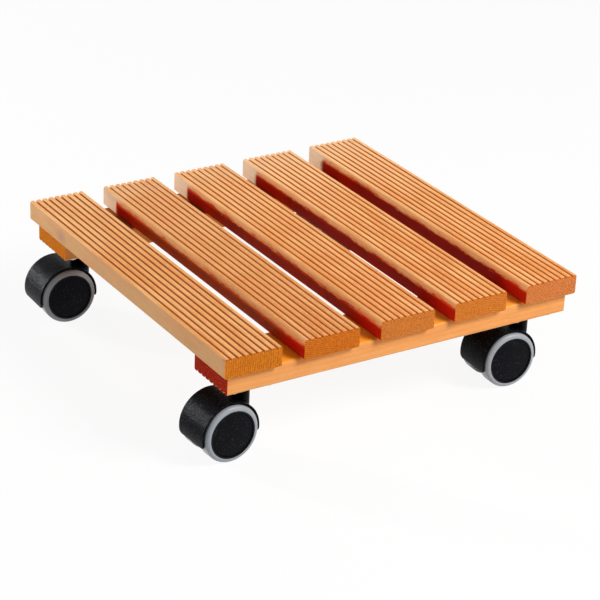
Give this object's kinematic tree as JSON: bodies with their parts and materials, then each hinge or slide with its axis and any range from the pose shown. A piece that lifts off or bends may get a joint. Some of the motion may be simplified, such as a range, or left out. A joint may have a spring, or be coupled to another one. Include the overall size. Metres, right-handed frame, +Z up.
{
  "type": "plant caddy",
  "caption": "Square slatted wooden plant caddy: grooved slats on two battens, carried by twin-wheel swivel casters that turn and roll freely.",
  "frame": {"origin": "centre of the deck's top face, level with the tops of the ridges, where the pot stands", "axes": "+Z up, out of the deck's top; the slats run along Y, with batten_front at the -Y end; +X runs across the slats, and the casters trail towards -X"},
  "size_m": [0.3018, 0.29, 0.085],
  "materials": {
    "wood": "oiled, grooved",
    "black_plastic": "fine-textured black",
    "grey_tyre": "satin grey",
    "steel": "zinc plated"
  },
  "bodies": {
    "deck": {"slat_1": "wood", "slat_2": "wood", "slat_3": "wood", "slat_4": "wood", "slat_5": "wood", "batten_front": "wood", "batten_rear": "wood", "batten_front_screws": "steel", "batten_rear_screws": "steel", "caster_front_left_plate": "steel", "caster_front_left_plate_screws": "steel", "caster_front_left_swivel_pin": "steel", "caster_front_left_snap_ring": "steel", "caster_front_right_plate": "steel", "caster_front_right_plate_screws": "steel", "caster_front_right_swivel_pin": "steel", "caster_front_right_snap_ring": "steel", "caster_rear_left_plate": "steel", "caster_rear_left_plate_screws": "steel", "caster_rear_left_swivel_pin": "steel", "caster_rear_left_snap_ring": "steel", "caster_rear_right_plate": "steel", "caster_rear_right_plate_screws": "steel", "caster_rear_right_swivel_pin": "steel", "caster_rear_right_snap_ring": "steel"},
    "caster_front_left_fork": {"caster_front_left_hood": "black_plastic", "caster_front_left_axle": "steel"},
    "caster_front_left_wheel_a": {"caster_front_left_wheel_a_core": "black_plastic", "caster_front_left_wheel_a_tyre": "grey_tyre", "caster_front_left_wheel_a_cap": "black_plastic"},
    "caster_front_left_wheel_b": {"caster_front_left_wheel_b_core": "black_plastic", "caster_front_left_wheel_b_tyre": "grey_tyre", "caster_front_left_wheel_b_cap": "black_plastic"},
    "caster_front_right_fork": {"caster_front_right_hood": "black_plastic", "caster_front_right_axle": "steel"},
    "caster_front_right_wheel_a": {"caster_front_right_wheel_a_core": "black_plastic", "caster_front_right_wheel_a_tyre": "grey_tyre", "caster_front_right_wheel_a_cap": "black_plastic"},
    "caster_front_right_wheel_b": {"caster_front_right_wheel_b_core": "black_plastic", "caster_front_right_wheel_b_tyre": "grey_tyre", "caster_front_right_wheel_b_cap": "black_plastic"},
    "caster_rear_left_fork": {"caster_rear_left_hood": "black_plastic", "caster_rear_left_axle": "steel"},
    "caster_rear_left_wheel_a": {"caster_rear_left_wheel_a_core": "black_plastic", "caster_rear_left_wheel_a_tyre": "grey_tyre", "caster_rear_left_wheel_a_cap": "black_plastic"},
    "caster_rear_left_wheel_b": {"caster_rear_left_wheel_b_core": "black_plastic", "caster_rear_left_wheel_b_tyre": "grey_tyre", "caster_rear_left_wheel_b_cap": "black_plastic"},
    "caster_rear_right_fork": {"caster_rear_right_hood": "black_plastic", "caster_rear_right_axle": "steel"},
    "caster_rear_right_wheel_a": {"caster_rear_right_wheel_a_core": "black_plastic", "caster_rear_right_wheel_a_tyre": "grey_tyre", "caster_rear_right_wheel_a_cap": "black_plastic"},
    "caster_rear_right_wheel_b": {"caster_rear_right_wheel_b_core": "black_plastic", "caster_rear_right_wheel_b_tyre": "grey_tyre", "caster_rear_right_wheel_b_cap": "black_plastic"}
  },
  "joints": [
    {"name": "caster_front_left_swivel", "type": "hinge", "parent": "deck", "child": "caster_front_left_fork", "pos_m": [-0.117, -0.1185, -0.0404], "axis": [0, 0, 1], "continuous": true},
    {"name": "caster_front_left_wheel_a_spin", "type": "hinge", "parent": "caster_front_left_fork", "child": "caster_front_left_wheel_a", "pos_m": [-0.13297, -0.11948, -0.064], "axis": [-0.061, 0.9981, 0], "continuous": true},
    {"name": "caster_front_left_wheel_b_spin", "type": "hinge", "parent": "caster_front_left_fork", "child": "caster_front_left_wheel_b", "pos_m": [-0.13297, -0.11948, -0.064], "axis": [-0.061, 0.9981, 0], "continuous": true},
    {"name": "caster_front_right_swivel", "type": "hinge", "parent": "deck", "child": "caster_front_right_fork", "pos_m": [0.117, -0.1185, -0.0404], "axis": [0, 0, 1], "continuous": true},
    {"name": "caster_front_right_wheel_a_spin", "type": "hinge", "parent": "caster_front_right_fork", "child": "caster_front_right_wheel_a", "pos_m": [0.10101, -0.11808, -0.064], "axis": [0.0262, 0.9997, 0], "continuous": true},
    {"name": "caster_front_right_wheel_b_spin", "type": "hinge", "parent": "caster_front_right_fork", "child": "caster_front_right_wheel_b", "pos_m": [0.10101, -0.11808, -0.064], "axis": [0.0262, 0.9997, 0], "continuous": true},
    {"name": "caster_rear_left_swivel", "type": "hinge", "parent": "deck", "child": "caster_rear_left_fork", "pos_m": [-0.117, 0.1185, -0.0404], "axis": [0, 0, 1], "continuous": true},
    {"name": "caster_rear_left_wheel_a_spin", "type": "hinge", "parent": "caster_rear_left_fork", "child": "caster_rear_left_wheel_a", "pos_m": [-0.13299, 0.11906, -0.064], "axis": [0.0349, 0.9994, 0], "continuous": true},
    {"name": "caster_rear_left_wheel_b_spin", "type": "hinge", "parent": "caster_rear_left_fork", "child": "caster_rear_left_wheel_b", "pos_m": [-0.13299, 0.11906, -0.064], "axis": [0.0349, 0.9994, 0], "continuous": true},
    {"name": "caster_rear_right_swivel", "type": "hinge", "parent": "deck", "child": "caster_rear_right_fork", "pos_m": [0.117, 0.1185, -0.0404], "axis": [0, 0, 1], "continuous": true},
    {"name": "caster_rear_right_wheel_a_spin", "type": "hinge", "parent": "caster_rear_right_fork", "child": "caster_rear_right_wheel_a", "pos_m": [0.10102, 0.1178, -0.064], "axis": [-0.0436, 0.999, 0], "continuous": true},
    {"name": "caster_rear_right_wheel_b_spin", "type": "hinge", "parent": "caster_rear_right_fork", "child": "caster_rear_right_wheel_b", "pos_m": [0.10102, 0.1178, -0.064], "axis": [-0.0436, 0.999, 0], "continuous": true}
  ]
}
